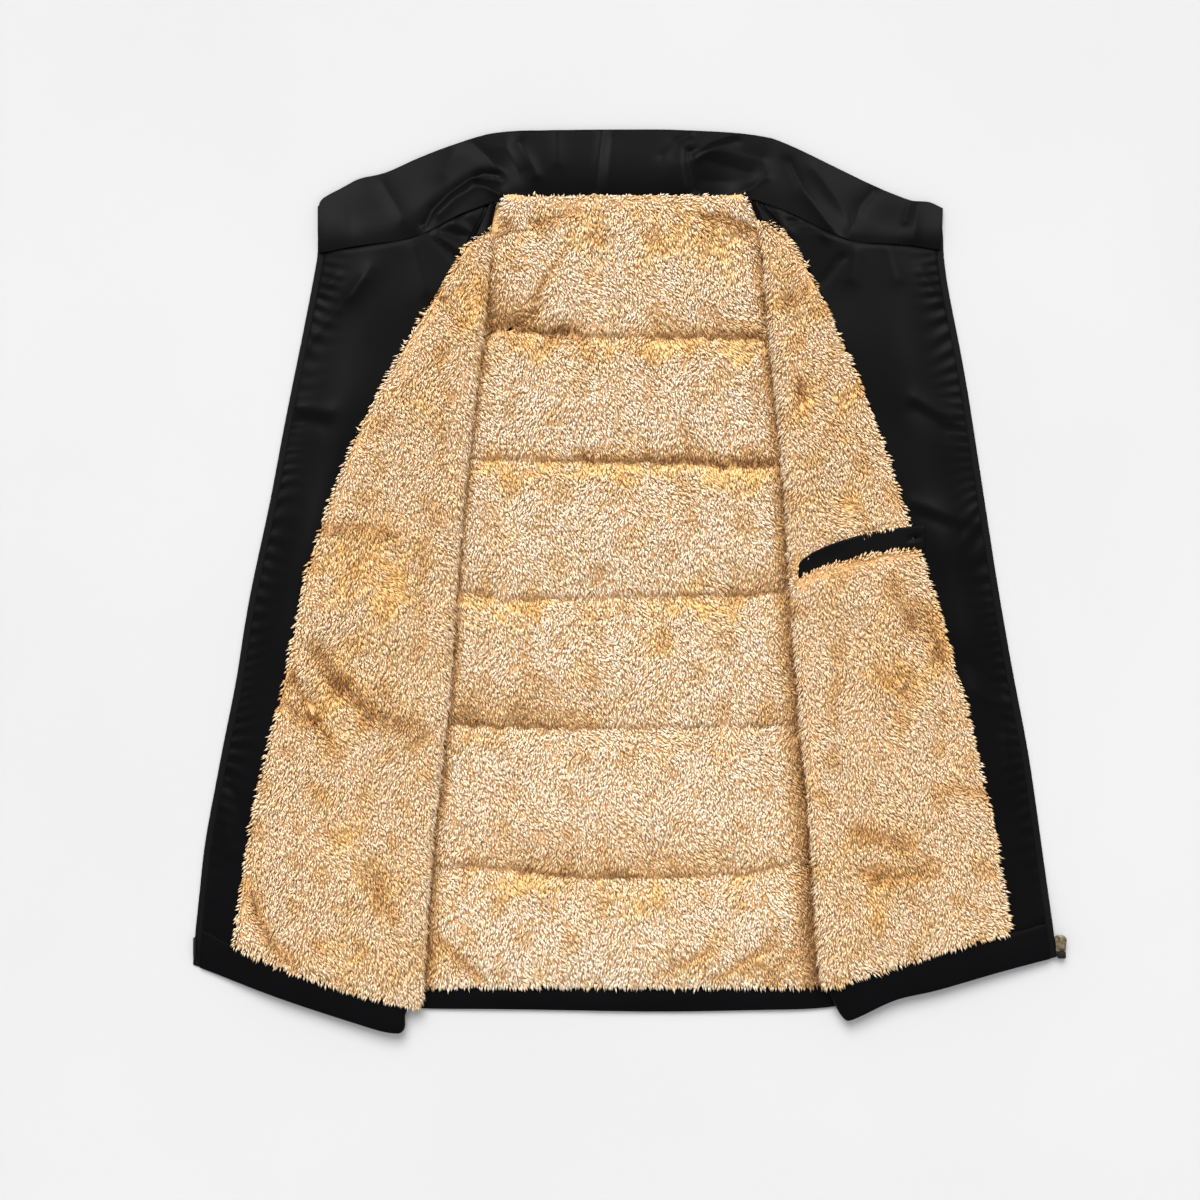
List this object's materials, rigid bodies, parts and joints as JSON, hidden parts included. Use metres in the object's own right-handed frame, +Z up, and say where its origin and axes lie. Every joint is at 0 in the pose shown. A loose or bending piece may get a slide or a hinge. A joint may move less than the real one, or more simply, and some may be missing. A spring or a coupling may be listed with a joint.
{
  "type": "puffer vest",
  "caption": "Sleeveless padded vest with a long-pile lining, lying open on its back with both fronts turned out flat.",
  "frame": {"origin": "on the surface it lies on, under the middle of its bounding box", "axes": "+X to the wearer's left, +Y from the hem to the collar, +Z up from the outer cloth of the back to the lining"},
  "size_m": [0.715, 0.7401, 0.0239],
  "materials": {
    "shell": "closely woven polyester, soft sheen",
    "facing": "closely woven polyester, soft sheen",
    "pile": "long brushed pile, cream tips over tan roots",
    "tape": "ribbed woven zip tape",
    "metal": "antique plated zip hardware",
    "plastic": "moulded"
  },
  "bodies": {
    "vest": {"back_shell": "shell", "back_lining": "pile", "back_hem_band": "facing", "right_front_shell": "shell", "right_front_lining": "pile", "right_facing": "facing", "right_hem_band": "facing", "right_zip_tape": "tape", "left_front_shell": "shell", "left_front_lining": "pile", "left_facing": "facing", "left_hem_band": "facing", "left_zip_tape": "tape", "pocket_welt": "facing", "collar_shell": "shell", "collar_facing": "facing", "zip_slider": "metal", "zip_box": "plastic", "zip_pin": "plastic"},
    "tab": {"pull_tab": "metal"}
  },
  "joints": [
    {"name": "pull_tab_hinge", "type": "hinge", "parent": "vest", "child": "tab", "pos_m": [0.3527, -0.2917, 0.00125], "axis": [1, 0, 0], "range_deg": [0, 170]}
  ]
}
